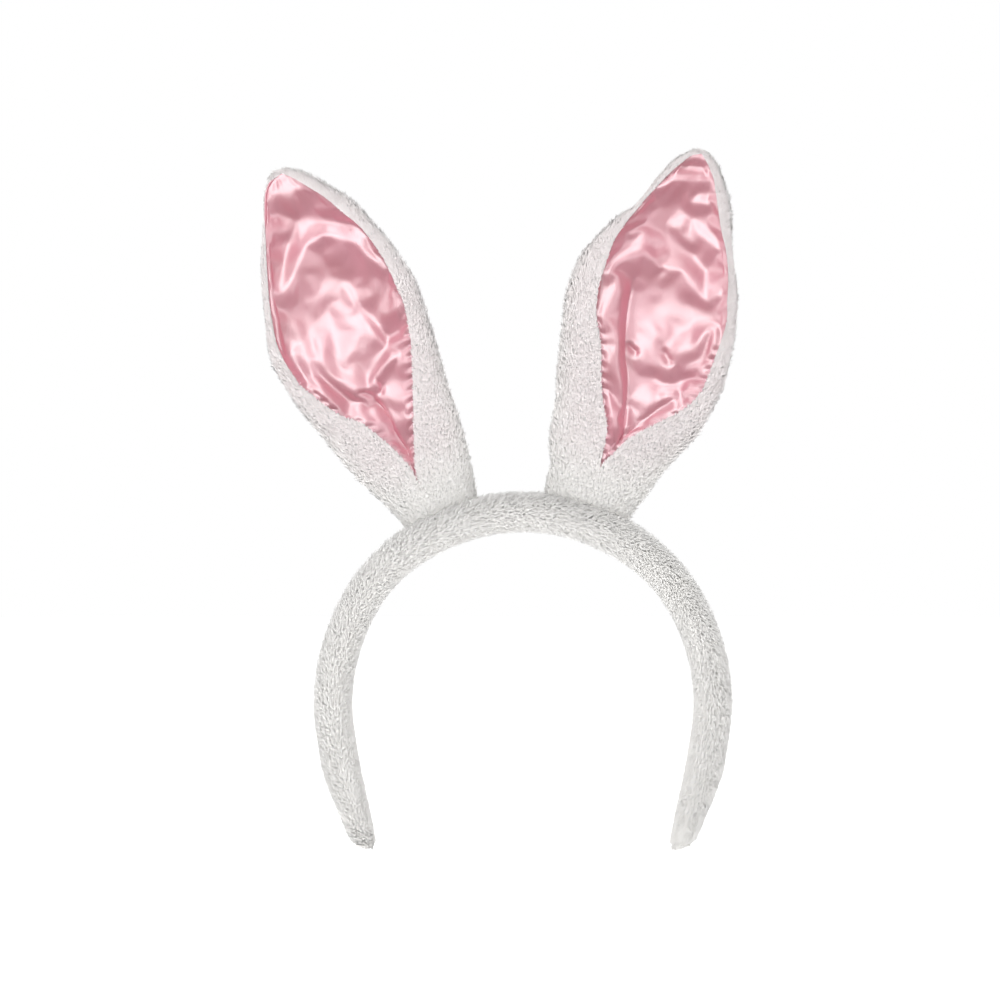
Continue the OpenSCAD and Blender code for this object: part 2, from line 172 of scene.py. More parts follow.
def shell(name, front, thickness, closed=False):
    """Thin closed sheet: a grid of points, the same grid set back, and the rim between them.

    A closed one joins its first column to its last, so it is a tube with no side edges.
    """
    rows, columns, _ = front.shape
    normals = grid_normals(front)
    if closed:
        wrapped = np.concatenate([front[:, -2:-1], front, front[:, 1:2]], axis=1)
        normals = grid_normals(wrapped)[:, 1:-1]
    back = front - normals * thickness
    points = np.vstack([front.reshape(-1, 3), back.reshape(-1, 3)])
    far = rows * columns
    quads = grid_quads(rows, columns)
    top = np.arange(columns - 1)
    bottom = (rows - 1) * columns + top
    edges = [(top + 1, top), (bottom, bottom + 1)]
    if not closed:
        left = np.arange(rows - 1) * columns
        right = left + columns - 1
        edges += [(left, left + columns), (right + columns, right)]
    rim = [np.stack([a, b, b + far, a + far], axis=1) for a, b in edges]
    faces = np.vstack([quads, quads[:, ::-1] + far] + rim)
    corners = faces
    if closed:
        keep = np.arange(far).reshape(rows, columns)
        keep[:, -1] = keep[:, 0]
        corners = np.concatenate([keep.ravel(), keep.ravel() + far])[faces]
    u = np.tile(np.linspace(0.01, 0.49, columns), rows)
    v = np.repeat(np.linspace(0.01, 0.99, rows), columns)
    uv = np.stack([np.concatenate([u, u + 0.5]), np.concatenate([v, v])], axis=1)
    return mesh_from_arrays(name, points, corners.ravel(), np.full(len(faces), 4), uv[faces.ravel()])


def tube(name, path, radius, sides):
    """Round tube along a path of points, with flat ends."""
    path = np.asarray(path, float)
    along = unit(np.gradient(path, axis=0))
    ahead = unit(BACKWARDS - along * along[:, 1:2])
    aside = np.cross(along, ahead)
    angle = np.linspace(0, 2 * math.pi, sides, endpoint=False)
    ring = np.cos(angle)[None, :, None] * ahead[:, None] + np.sin(angle)[None, :, None] * aside[:, None]
    points = (path[:, None] + radius * ring).reshape(-1, 3)
    faces = []
    for i in range(len(path) - 1):
        for k in range(sides):
            a, b = i * sides + k, i * sides + (k + 1) % sides
            faces.append([a, a + sides, b + sides, b])
    last = (len(path) - 1) * sides
    faces += [[0, k, k + 1] for k in range(1, sides - 1)]
    faces += [[last, last + k + 1, last + k] for k in range(1, sides - 1)]
    sizes = np.array([len(f) for f in faces])
    return mesh_from_arrays(name, points, np.concatenate(faces).astype(np.int32), sizes)


def joined(name, pieces):
    """One object from several."""
    bpy.ops.object.select_all(action="DESELECT")
    for piece in pieces:
        piece.select_set(True)
    bpy.context.view_layer.objects.active = pieces[0]
    bpy.ops.object.join()
    pieces[0].name = name
    pieces[0].data.name = name
    return pieces[0]


# ---- pile ----

def sample_grid(front, density, seed):
    """Evenly spread random places on a grid: row and column, both with fractions."""
    rng = np.random.default_rng(seed)
    a, b = front[:-1, :-1], front[:-1, 1:]
    c, d = front[1:, 1:], front[1:, :-1]
    area = np.linalg.norm(np.cross(c - a, d - b), axis=2).ravel() / 2
    total = np.cumsum(area)
    count = int(total[-1] * density)
    pick = (np.arange(count) + rng.random(count)) / count * total[-1]
    cell = np.minimum(np.searchsorted(total, pick), len(area) - 1)
    columns = front.shape[1] - 1
    return cell // columns + rng.random(count), cell % columns + rng.random(count)


def blend_grid(values, rows, columns):
    """Values of a grid at fractional rows and columns."""
    r, c = np.floor(rows).astype(int), np.floor(columns).astype(int)
    fr, fc = (rows - r)[:, None], (columns - c)[:, None]
    if values.ndim == 2:
        values = values[:, :, None]
    top = values[r, c] * (1 - fc) + values[r, c + 1] * fc
    bottom = values[r + 1, c] * (1 - fc) + values[r + 1, c + 1] * fc
    return top * (1 - fr) + bottom * fr


CLUMP_SPACING = 18  # tufts to each clump
CLUMP_PULL = 0.18  # how far a tuft's tip leans to its clump, as a share of the way there
TUFT_BASE = 0.27  # radii of a tuft, at its root and half way up
TUFT_MIDDLE = 0.23
SOFT_SHADING = 0.93  # share of the cloth's own direction in a tuft's shading
TURN_SPREAD = 0.55  # spread of the tufts' headings, in radians
LEAN_SPREAD = 11  # spread of their lean, in degrees
LENGTH_SPREAD = (0.7, 1.25)
TUFT_POINTS = 7  # two rings of three and the tip
CLUMP_TONE, TUFT_TONE = 0.14, 0.1  # spread of the tone, from clump to clump and tuft to tuft
# painted shade: the root of each tuft is darkened where the tufts shade one another
PAINTED_ROOT_SHADE = 0.08  # how much darker a tuft's root is
MOST_TUFTS = 19500  # tufts in one piece

# tufts to a square millimetre, and their lean from upright
BAND_DENSITY, BAND_LEAN = 4.6, 42
EAR_DENSITY, EAR_LEAN = 5.8, 52


def tufts(name, roots, normals, flow, length, painted_bounce, lean_angle, seed):
    """Tapered, curved tufts of pile, each one closed, as one mesh; length and the painted pink bounce light
    from the satin are columns.
    """
    rng = np.random.default_rng(seed)
    count = len(roots)
    normals = unit(normals)
    flow = unit(flow - normals * np.sum(flow * normals, axis=1, keepdims=True))
    side = np.cross(normals, flow)
    turn = rng.normal(0, TURN_SPREAD, count)[:, None]
    heading = flow * np.cos(turn) + side * np.sin(turn)
    lean = np.radians(rng.normal(lean_angle, LEAN_SPREAD, count))[:, None]
    reach = length * rng.uniform(*LENGTH_SPREAD, count)[:, None]
    tips = roots + reach * (normals * np.cos(lean) + heading * np.sin(lean))
    middle = roots + 0.55 * reach * (normals * np.cos(0.45 * lean) + heading * np.sin(0.45 * lean))

    centres = np.arange(rng.integers(CLUMP_SPACING), count, CLUMP_SPACING)
    centres = np.unique(np.minimum(centres + rng.integers(0, CLUMP_SPACING, len(centres)), count - 1))
    tree = kdtree.KDTree(len(centres))
    for i, centre in enumerate(centres):
        tree.insert(roots[centre], i)
    tree.balance()
    nearest = np.array([tree.find(root)[1] for root in roots])
    pull = CLUMP_PULL * rng.uniform(0.4, 1.0, count)[:, None]
    tips += pull * (tips[centres[nearest]] - tips)

    axis = unit(tips - roots)
    across = unit(np.cross(axis, heading + 0.01))
    other = np.cross(axis, across)
    spin = rng.uniform(0, 2 * math.pi, count)
    rings = []
    for centre, radius in ((roots - 0.15 * normals, TUFT_BASE), (middle, TUFT_MIDDLE)):
        for k in range(3):
            angle = (spin + 2 * math.pi * k / 3)[:, None]
            rings.append(centre + radius * (across * np.cos(angle) + other * np.sin(angle)))
    points = np.stack(rings + [tips], axis=1)
    outward = unit(points - (roots + tips)[:, None] / 2)
    shading = unit(SOFT_SHADING * normals[:, None] + (1 - SOFT_SHADING) * outward)

    cap = [0, 2, 1]
    sides = [[k, (k + 1) % 3, 3 + (k + 1) % 3, 3 + k] for k in range(3)]
    points_up = [[3 + k, 3 + (k + 1) % 3, 6] for k in range(3)]
    one = np.array(cap + sum(sides + points_up, []))
    corners = (np.arange(count)[:, None] * TUFT_POINTS + one[None]).ravel().astype(np.int32)
    sizes = np.tile([3] + [4] * 3 + [3] * 3, count)

    cells = math.ceil(math.sqrt(count))
    around = np.radians([90, 210, 330])
    ring_uv = np.stack([np.cos(around), np.sin(around)], axis=1)
    uv = 0.5 + np.vstack([0.48 * ring_uv, 0.28 * ring_uv, [[0, 0]]])
    cell = np.stack([np.arange(count) % cells, np.arange(count) // cells], axis=1)
    uvs = (cell[:, None] + uv[one][None]) / cells

    piece = mesh_from_arrays(name, points.reshape(-1, 3), corners, sizes, uvs.reshape(-1, 2))
    tone_and_root_shade = piece.data.attributes.new("tone_and_root_shade", "FLOAT", "POINT")
    clump_tone = rng.normal(0, 1, len(centres))[nearest]
    tone = 0.5 + CLUMP_TONE * clump_tone + TUFT_TONE * rng.normal(0, 1, count)
    tone = np.repeat(tone, TUFT_POINTS)
    # painted shade on the root ring of each tuft
    tone.reshape(-1, TUFT_POINTS)[:, :3] -= PAINTED_ROOT_SHADE
    tone_and_root_shade.data.foreach_set("value", np.clip(tone, 0, 1).astype(np.float32))
    # painted pink light bounced from the satin, one value to a tuft
    pink_bounce = piece.data.attributes.new("painted_bounce", "FLOAT", "POINT")
    pink_bounce.data.foreach_set("value", np.repeat(painted_bounce, TUFT_POINTS).astype(np.float32))
    piece.data.normals_split_custom_set_from_vertices(shading.reshape(-1, 3))
    return piece


def pile(name, front, normals, density, length, painted_bounce, flow, lean_angle, seed):
    """Pile over a grid, as pieces small enough to keep every tuft."""
    rows, columns = sample_grid(front, density, seed)
    order = np.argsort(rows, kind="stable")
    rows, columns = rows[order], columns[order]
    roots = blend_grid(front, rows, columns)
    shares = math.ceil(len(rows) / MOST_TUFTS)
    pieces = []
    for i in range(shares):
        part = slice(i * len(rows) // shares, (i + 1) * len(rows) // shares)
        fields = [blend_grid(field, rows[part], columns[part]) for field in (normals, flow, length, painted_bounce)]
        pieces.append(tufts(f"{name}_{i + 1}", roots[part], *fields, lean_angle, seed + 10 * (i + 1)))
    return pieces


# ---- materials ----

def material(name, base, roughness, **sockets):
    """New Principled material; the keywords are socket names with underscores for spaces."""
    mat = bpy.data.materials.new(name)
    mat.use_nodes = True
    shader = mat.node_tree.nodes["Principled BSDF"]
    shader.inputs["Base Color"].default_value = (*base, 1)
    shader.inputs["Roughness"].default_value = roughness
    for key, value in sockets.items():
        shader.inputs[key.replace("_", " ")].default_value = value
    return mat


def add_node(mat, kind, **settings):
    node = mat.node_tree.nodes.new(kind)
    for key, value in settings.items():
        if key in node.inputs:
            node.inputs[key].default_value = value
        else:
            setattr(node, key, value)
    return node


def link(mat, source, target):
    mat.node_tree.links.new(source, target)


def shader_of(mat):
    return mat.node_tree.nodes["Principled BSDF"]


def colour_ramp(mat, factor, stops):
    ramp = add_node(mat, "ShaderNodeValToRGB")
    elements = ramp.color_ramp.elements
    while len(elements) < len(stops):
        elements.new(0.5)
    for element, (place, colour) in zip(elements, stops):
        element.position = place
        element.color = (*colour, 1)
    link(mat, factor, ramp.inputs["Fac"])
    return ramp.outputs["Color"]


def bump(mat, height, strength, distance):
    node = add_node(mat, "ShaderNodeBump", Strength=strength, Distance=distance)
    link(mat, height, node.inputs["Height"])
    link(mat, node.outputs["Normal"], shader_of(mat).inputs["Normal"])


def object_noise(mat, scale, detail=3.0):
    place = add_node(mat, "ShaderNodeTexCoord")
    noise = add_node(mat, "ShaderNodeTexNoise", Scale=scale, Detail=detail)
    link(mat, place.outputs["Object"], noise.inputs["Vector"])
    return noise.outputs["Fac"]


def pile_material():
    """Each tuft has its own tone and painted shade at its root, and is pinker the nearer it lies to the
    satin: painted pink light bounced from the satin.
    """
    white = (0.80, 0.782, 0.75), (0.86, 0.842, 0.812), (0.905, 0.89, 0.865)
    # pink tones for the painted light bounced from the satin
    pink_bounce = (0.77, 0.70, 0.695), (0.83, 0.76, 0.755), (0.89, 0.835, 0.83)
    mat = material(
        "plush_pile", white[1], 0.9, Sheen_Weight=0.35, Sheen_Roughness=0.5, Specular_IOR_Level=0.2,
        Subsurface_Weight=0.4, Subsurface_Radius=(1.0, 1.0, 1.0), Subsurface_Scale=0.0003,
    )
    # tone at random from tuft to tuft, with painted shade at the roots
    tone_and_root_shade = add_node(mat, "ShaderNodeAttribute", attribute_name="tone_and_root_shade")
    # share of painted pink bounce light from the satin
    painted_bounce = add_node(mat, "ShaderNodeAttribute", attribute_name="painted_bounce")
    mix = add_node(mat, "ShaderNodeMix", data_type="RGBA")
    link(mat, painted_bounce.outputs["Fac"], mix.inputs[0])
    for tones, socket in ((white, 6), (pink_bounce, 7)):
        stops = list(zip((0.0, 0.5, 1.0), tones))
        link(mat, colour_ramp(mat, tone_and_root_shade.outputs["Fac"], stops), mix.inputs[socket])
    link(mat, mix.outputs[2], shader_of(mat).inputs["Base Color"])
    return mat


def mottle(mat, scale, dark, light, edge=0.3):
    """Colour that drifts between two tones."""
    colour = colour_ramp(mat, object_noise(mat, scale), [(edge, dark), (1 - edge, light)])
    link(mat, colour, shader_of(mat).inputs["Base Color"])


def grainy_material(name, base, roughness, tones, grain, **sockets):
    """Mottled material: tones are mottle's arguments, grain a noise's scale and bump's arguments."""
    mat = material(name, base, roughness, **sockets)
    mottle(mat, *tones)
    bump(mat, object_noise(mat, grain[0]), *grain[1:])
    return mat


def satin_material():
    base, deep = (0.57, 0.13, 0.195), (0.52, 0.10, 0.15)
    mat = material(
        "satin", base, 0.4, Anisotropic=0.3, Sheen_Weight=0.15, Sheen_Roughness=0.35,
        IOR=2.6, Specular_IOR_Level=0.9,
    )
    mottle(mat, 60, deep, base, 0.35)
    place = add_node(mat, "ShaderNodeUVMap", uv_map="Cloth")
    stretch = add_node(mat, "ShaderNodeMapping", Scale=(2400.0, 500.0, 1.0))
    threads = add_node(mat, "ShaderNodeTexNoise", Scale=1.0, Detail=2.0)
    link(mat, place.outputs["UV"], stretch.inputs["Vector"])
    link(mat, stretch.outputs["Vector"], threads.inputs["Vector"])
    bump(mat, threads.outputs["Fac"], 0.22, 0.00012)
    return mat


def thread_material(name, base, dark):
    grain = (4000, 0.5, 0.0001)
    return grainy_material(name, base, 0.6, (1500, dark, base), grain, Sheen_Weight=0.3, Sheen_Roughness=0.4)


PILE_LOOK = pile_material()
BACKING = grainy_material(
    "plush_backing", (0.90, 0.89, 0.885), 0.95, (900, (0.84, 0.83, 0.825), (0.90, 0.89, 0.885)),
    (2200, 0.4, 0.0003), Sheen_Weight=0.3, Sheen_Roughness=0.6,
)
SATIN = satin_material()
WHITE_THREAD = thread_material("white_thread", (0.85, 0.84, 0.82), (0.7, 0.69, 0.67))
PINK_THREAD = thread_material("pink_thread", (0.85, 0.55, 0.62), (0.7, 0.35, 0.44))
PLASTIC = grainy_material(
    "core_plastic", (0.80, 0.77, 0.68), 0.42, (120, (0.77, 0.74, 0.65), (0.81, 0.78, 0.70)),
    (2500, 0.15, 0.0001), Specular_IOR_Level=0.5,
)
WIRE = grainy_material(
    "wire_steel", (0.62, 0.63, 0.65), 0.35, (700, (0.5, 0.51, 0.53), (0.68, 0.69, 0.7)),
    (3000, 0.2, 0.00005), Metallic=1.0,
)
TAPE = grainy_material(
    "cloth_tape", (0.82, 0.74, 0.56), 0.85, (1400, (0.72, 0.64, 0.46), (0.84, 0.77, 0.6)),
    (3000, 0.5, 0.0002), Sheen_Weight=0.2,
)
WADDING = grainy_material(
    "polyester_wadding", (0.86, 0.86, 0.85), 0.95, (300, (0.78, 0.78, 0.77), (0.9, 0.9, 0.89)),
    (800, 0.8, 0.0006), Sheen_Weight=0.5, Sheen_Roughness=0.6,
)


def finish_with(piece, mat):
    piece.data.materials.clear()
    piece.data.materials.append(mat)
    return piece


# ---- headband ----

ROUND_T, BLUNT_T = 7.0, 0.25  # length over which a tip's thickness rounds off, and the share left
ROUND_W, BLUNT_W = 13.0, 0.3  # the same for its width
SHOULDER_AT, SHOULDER_SPREAD = 48, 15
INNER_SHARE, OUTER_SHARE = 0.42, 0.58  # of the thickness, on each side of the section's middle
INNER_PILE = 0.45  # the pile inside the arch, as a share of PILE


def rounding(along, length, blunt):
    """Share of the full size at a distance along a straight end whose tip is round."""
    left = np.clip((STRAIGHT - along) / length, 0, 1)
    return blunt + (1 - blunt) * np.sqrt(1 - (1 - left) ** 2)


def band_thickness(along):
    """Radial thickness of the sleeve at a distance along a straight end."""
    thin = BAND_T + (TIP_T - BAND_T) * smoothstep(along, STRAIGHT - TAPER, STRAIGHT)
    return thin * rounding(along, ROUND_T, BLUNT_T)


def band_stations(step=1.6):
    """Angle from the top and distance along the straight end, for each ring of half the sleeve."""
    arc = np.radians(ARCH_END) * (GRIP_R + BAND_T / 2)
    ends = STRAIGHT * np.sin(np.linspace(0, math.pi / 2, 44))
    angles = np.linspace(0, ARCH_END, int(arc / step), endpoint=False)
    angle = np.concatenate([angles, np.full(len(ends), ARCH_END)])
    return angle, np.concatenate([np.zeros(len(angles)), ends])


def band_point(side, angle, along, radius, depth):
    """Place on the headband: the radius is from the arch's centre, the depth is along Y."""
    a = np.radians(angle)
    x = side * (radius * np.sin(a) + along * np.cos(a))
    return np.stack([x, depth + 0 * a, radius * np.cos(a) - along * np.sin(a)], axis=-1)


def sleeve_grid(side, columns=56):
    """Backing of half the sleeve, as rings from the crown to the tip."""
    angle, along = (q[:, None] for q in band_stations())
    end = (STRAIGHT - PILE_END) / STRAIGHT
    turn = np.linspace(0, 2 * math.pi, columns)[None]
    if side < 0:
        turn = -turn
    s, c = np.sin(turn), np.cos(turn)
    thick, wide = band_thickness(along), BAND_W * rounding(along, ROUND_W, BLUNT_W)
    shoulder = SHOULDER * np.exp(-(((angle - SHOULDER_AT) / SHOULDER_SPREAD) ** 2))
    middle = GRIP_R + thick * INNER_SHARE + shoulder - TIP_TURN * smoothstep(along, 8, STRAIGHT)
    outer = np.maximum(thick * OUTER_SHARE - PILE, 0.4)
    inner = np.maximum(thick * INNER_SHARE - PILE * INNER_PILE, 0.4)
    radius = middle + np.where(s > 0, outer, inner) * np.sign(s) * np.abs(s) ** 0.8
    depth = np.maximum(wide / 2 - PILE, 0.8) * np.sign(c) * np.abs(c) ** 0.75
    return band_point(side, angle + 0 * turn, along * end + 0 * turn, radius, depth), s


def build_sleeve(side, word):
    front, s = sleeve_grid(side)
    backing = shell(f"{word}_sleeve_backing", front, CLOTH, closed=True)
    finish_with(backing, BACKING)
    flow = side * np.gradient(front, axis=0)
    between_ears = 1 - smoothstep(band_stations()[0], 30, 48)[:, None]
    length = np.where(s > -0.2, 2.9, 1.5) + 0.8 * between_ears * smoothstep(s, 0.1, 0.7)
    name, normals = f"{word}_sleeve_pile", grid_normals(front)
    pieces = pile(name, front, normals, BAND_DENSITY, length, 0 * length, flow, BAND_LEAN, 40 + side)
    for piece in pieces:
        finish_with(piece, PILE_LOOK)
    for piece in [backing] + pieces:
        bend_arm(piece)
    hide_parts(f"{word}_arm_plush_sleeve", "crown_plush_sleeve")


def bend_arm(piece):
    """Bakes a piece's placement into its mesh; nothing here lets it follow the crown or the arm."""
    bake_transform(piece)


CORE_R = 70.0  # outer face of the spring core
CORE_HALF = 6.5  # half its width, and the radius of its tip
CORE_T = 2.0
CORE_SHORT = 5  # how far it stops before the sleeve's tip


def build_core(side, word):
    """Half of the flat plastic spring, rounded at its tip."""
    angle, along = band_stations(2.5)
    along = along * (STRAIGHT - CORE_SHORT) / STRAIGHT
    left = np.clip((STRAIGHT - CORE_SHORT - along) / CORE_HALF, 0, 1)
    half = CORE_HALF * np.sqrt(np.maximum(1 - (1 - left) ** 2, 0.01))
    across = np.linspace(-1, 1, 9) * (-side)
    angle, along = angle[:, None] + 0 * across, along[:, None] + 0 * across
    grid = band_point(side, angle, along, CORE_R, half[:, None] * across)
    core = shell(f"{word}_spring_core", grid, CORE_T)
    bend_arm(finish_with(core, PLASTIC))
    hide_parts(f"{word}_arm_core", "crown_core")


SEAM_STEP = 4.2  # from one stitch of the sleeve's seam to the next
SEAM_SHORT = 12  # how far the seam stops before the tip
SEAM_LOW = (1.0, 6.8)  # a stitch's ends, as the distance out from the arch's inner face and the depth
SEAM_HIGH = (2.5, 9.3)
SEAM_SLANT = 1.4  # how far a stitch slants along the arch, in degrees
SEAM_THREAD = 0.32  # radius of its thread


def build_sleeve_seam(side, word):
    """Slanted hand stitches that close the sleeve along its rear inner edge."""
    stitches = []
    turn = math.degrees(SEAM_STEP / GRIP_R)
    places = [(angle, 0.0) for angle in np.arange(turn / 2, ARCH_END, turn)]
    places += [(ARCH_END, along) for along in np.arange(SEAM_STEP / 2, STRAIGHT - SEAM_SHORT, SEAM_STEP)]
    for angle, along in places:
        low = band_point(side, angle, along, GRIP_R + SEAM_LOW[0], SEAM_LOW[1])
        high = band_point(side, angle + SEAM_SLANT, along, GRIP_R + SEAM_HIGH[0], SEAM_HIGH[1])
        t = np.linspace(0, 1, 5)[:, None]
        bow = band_point(side, angle, along, -0.35, 0.3) - band_point(side, angle, along, 0, 0)
        path = low * (1 - t) + high * t + bow * np.sin(math.pi * t)
        stitches.append(tube("stitch", path, SEAM_THREAD, 6))
    seam = joined(f"{word}_sleeve_seam", stitches)
    bend_arm(finish_with(seam, WHITE_THREAD))
    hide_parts(f"{word}_arm_seam_thread", "crown_seam_thread")


# ---- ears ----

class Ear:
    """One ear's own frame, outlines and folds. u runs across, y to the back, v from base to tip."""

    def __init__(self, word, side, top, plush, satin, folds, creases):
        self.word, self.side, self.folds, self.creases = word, side, folds, creases
        self.top = top - TIP_PILE
        self.satin_top = self.top - SATIN_BACK
        hinge = next(j for j in frame["joints"] if j["name"] == f"{word}_ear_tilt")
        self.origin = np.array(hinge["pos_m"]) / MM
        self.across = np.array(hinge["axis"], float)
        self.up = np.array([-self.across[2], 0.0, self.across[0]])
        self.plush = {edge: curve(*points) for edge, points in zip((-1, 1), plush)}
        self.satin = {edge: curve(*points) for edge, points in zip((-1, 1), satin)}

    def place(self, u, y, v):
        u, y, v = np.broadcast_arrays(u, y, v)
        return self.origin + u[..., None] * self.across + y[..., None] * BACKWARDS + v[..., None] * self.up

    def depth(self, v):
        """Half depth of the plush's backing."""
        swell = np.sin(np.radians(90 * np.clip(v / WIDEST, 0, 1)))
        top = np.clip((self.top - v) / (self.top - WIDEST), 0, 1)
        above = TIP_DEPTH + TIP_GAIN * np.sin(np.radians(90 * top)) ** 0.6
        body = np.where(v < WIDEST, BASE_DEPTH + BASE_GAIN * swell, above)
        foot = np.clip((v - EAR_FOOT + 1) / 5, 0.3, 1)
        return body * np.sqrt(1 - (1 - foot) ** 2)

    def opening(self, v):
        """0 where the plush closes in front of the satin, 1 where it lies well apart."""
        return smoothstep(self.satin_edge(v, 1) - self.satin_edge(v, -1), 0.4, 4)

    def back(self, u, v):
        """Place of the backing behind a point of the ear."""
        share = np.clip(u / self.half_by(u, v), -1, 1)
        return self.depth(v) * np.sqrt(1 - share**2) - self.cup(v) * share**2

    def wadding_share(self, u, v):
        """Thickness of the wadding, as a share of the thickest."""
        across = np.clip(u / (WADDING_REACH * self.half_by(u, v)), -1, 1)
        return (1 - across**4) * smoothstep(v, 20, 34) * (1 - smoothstep(v, 100, 118))

    def room(self, u, v):
        """How far back the satin may lie: in front of the wadding, and of the wire along the edges."""
        over_wadding = self.back(u, v) - 2.0 - 2.3 * self.wadding_share(u, v)
        by_wire = smoothstep(np.abs(u) / self.half_by(u, v), 0.8, 0.88)
        return over_wadding + by_wire * (np.minimum(over_wadding, 0.1 - self.cup(v)) - over_wadding)

    def cup(self, v):
        return CUP * np.sin(np.pi * np.clip(v / EAR_TOP, 0, 1))

    def lift(self, v, edge):
        """How far the pile lifts the outline off the backing; less where the satin is close to the edge."""
        return np.clip(0.55 * (self.plush[edge](v) - self.satin[edge](v)), 0.7, PILE)

    def half(self, v, edge):
        return np.maximum(self.plush[edge](v) - self.lift(v, edge), 0.6)

    def half_by(self, u, v):
        """Half width on the side that u is on."""
        return np.where(u < 0, self.half(v, -1), self.half(v, 1))

    def satin_edge(self, v, edge):
        """Signed place of the satin's edge; edge is -1 or 1."""
        return self.satin[edge](v) * edge

    def rim(self, v, edge):
        """Angle round the section, from the back, where the plush meets the satin."""
        share = self.satin_edge(v, edge) * edge / self.half(v, edge)
        return np.pi - np.arcsin(np.clip(share, -0.3, 0.975))

    def outside(self, v, angle):
        y = self.depth(v) * np.cos(angle) - self.cup(v) * np.sin(angle) ** 2
        return self.half_by(angle, v) * np.sin(angle), y

    def rim_y(self, v, edge):
        return self.outside(v, edge * self.rim(v, edge))[1]


def plush_grid(ear, rows, columns=92):
    """Backing of an ear's plush, from one satin edge round the back to the other, lips turned in."""
    v = rows[:, None]
    first, last = -ear.rim(v, -1), ear.rim(v, 1)
    t = np.linspace(0, 1, columns)[None]
    angle = first + (last - first) * t
    u, y = ear.outside(v, angle)
    lip = np.array([[1.0, 0.55]]) * (0.3 + 0.7 * ear.opening(v))
    u = np.hstack([u[:, :1] + LIP_IN * lip, u, u[:, -1:] - LIP_IN * lip[:, ::-1]])
    y = np.hstack([y[:, :1] + LIP * lip, y, y[:, -1:] + LIP * lip[:, ::-1]])
    past = np.clip((v - ear.top + TIP_CAP) / TIP_CAP, 0, 1)
    open_share = np.sqrt(1.003 - past**2)
    middle = (ear.half(v, 1) - ear.half(v, -1)) / 2
    return ear.place(middle + (u - middle) * open_share, y * open_share, v + 0 * u)[:, ::-1]


def pile_length(ear, front, rows):
    """Pile is long at the back, shorter on the front flaps and near the tip, shortest at the lips."""
    t = np.linspace(1, -1, front.shape[1])[None]
    away = np.abs(t)
    v = rows[:, None]
    edge = np.where(t < 0, ear.lift(v, -1), ear.lift(v, 1)) / PILE
    length = 3.2 - 1.0 * smoothstep(away, 0.62, 0.8) - 0.9 * smoothstep(away, 0.93, 0.99) * ear.opening(v)
    length = length * (1 + (edge - 1) * smoothstep(away, 0.2, 0.45))
    return length * (1 - 0.3 * smoothstep(v, ear.top - 8, ear.top))


def pile_normals(ear, front, rows):
    """Pile on the turned-in lips points as on the flap beside them, and turns upwards at the tip."""
    normals = grid_normals(front)
    normals[:, :3] = normals[:, 3:4]
    normals[:, -3:] = normals[:, -4:-3]
    closing = 1.1 * smoothstep(rows, ear.top - 4, ear.top)[:, None, None]
    return unit(normals + closing * (ear.up - np.array([0, 0.35, 0])))


def build_plush(ear):
    word = ear.word
    base_rows = np.linspace(EAR_FOOT, EAR_SPLIT, 18)
    t = np.linspace(0, 1, 96)
    low = EAR_SPLIT - OVERLAP
    main_rows = low + (ear.top - low) * np.sin(t * math.pi / 2) ** 0.92
    for label, rows, seed in (("base", base_rows, 70), ("main", main_rows, 90)):
        front = plush_grid(ear, rows)
        thickness = np.minimum(CLOTH, 0.45 * ear.depth(rows))[:, None, None]
        backing = finish_with(shell(f"{word}_ear_plush_{label}", front, thickness), BACKING)
        outward = front - ear.place(0.0, 0.0, rows[:, None] + 0 * front[:, :, 0])
        flow = 0.9 * ear.up + 0.35 * unit(outward)
        length = pile_length(ear, front, rows)
        normals = pile_normals(ear, front, rows)
        away = np.abs(np.linspace(1, -1, front.shape[1]))[None]
        # painted pink light bounced from the satin: on the front flaps beside it, fading out towards the
        # foot
        painted_bounce = smoothstep(away, 0.35, 0.85) * smoothstep(rows, 2, 26)[:, None]
        name = f"{word}_ear_pile_{label}"
        pieces = pile(name, front, normals, EAR_DENSITY, length, painted_bounce, flow, EAR_LEAN, seed + ear.side)
        for piece in pieces:
            finish_with(piece, PILE_LOOK)
        bend = bend_base if label == "base" else bend_ear
        for piece in [backing] + pieces:
            bend(piece, ear)
        if label == "base":
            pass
        else:
            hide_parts(*[f"{word}_ear_plush_{n}" for n in ("lower", "bend", "upper")])


def bend_base(piece, ear):
    """Bakes a piece's placement into its mesh; the places where the base's tilt begins and ends are worked
    out but not used.
    """
    start, end = ear.place(0.0, 0.0, TILT_FROM) * MM, ear.place(0.0, 0.0, TILT_TO) * MM
    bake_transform(piece)


def bend_ear(piece, ear):
    """Bakes a piece's placement into its mesh; the places where the bend begins and ends are worked out but
    not used.
    """
    start, end = ear.place(0.0, 0.0, BEND_FROM) * MM, ear.place(0.0, 0.0, BEND_TO) * MM
    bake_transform(piece)


def finish_in_ear(piece, mat, ear, node):
    """Finishes a piece that is whole here and cut in two at the bend in the CAD."""
    bend_ear(finish_with(piece, mat), ear)
    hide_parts(f"{ear.word}_ear_{node}_lower", f"{ear.word}_ear_{node}_upper")


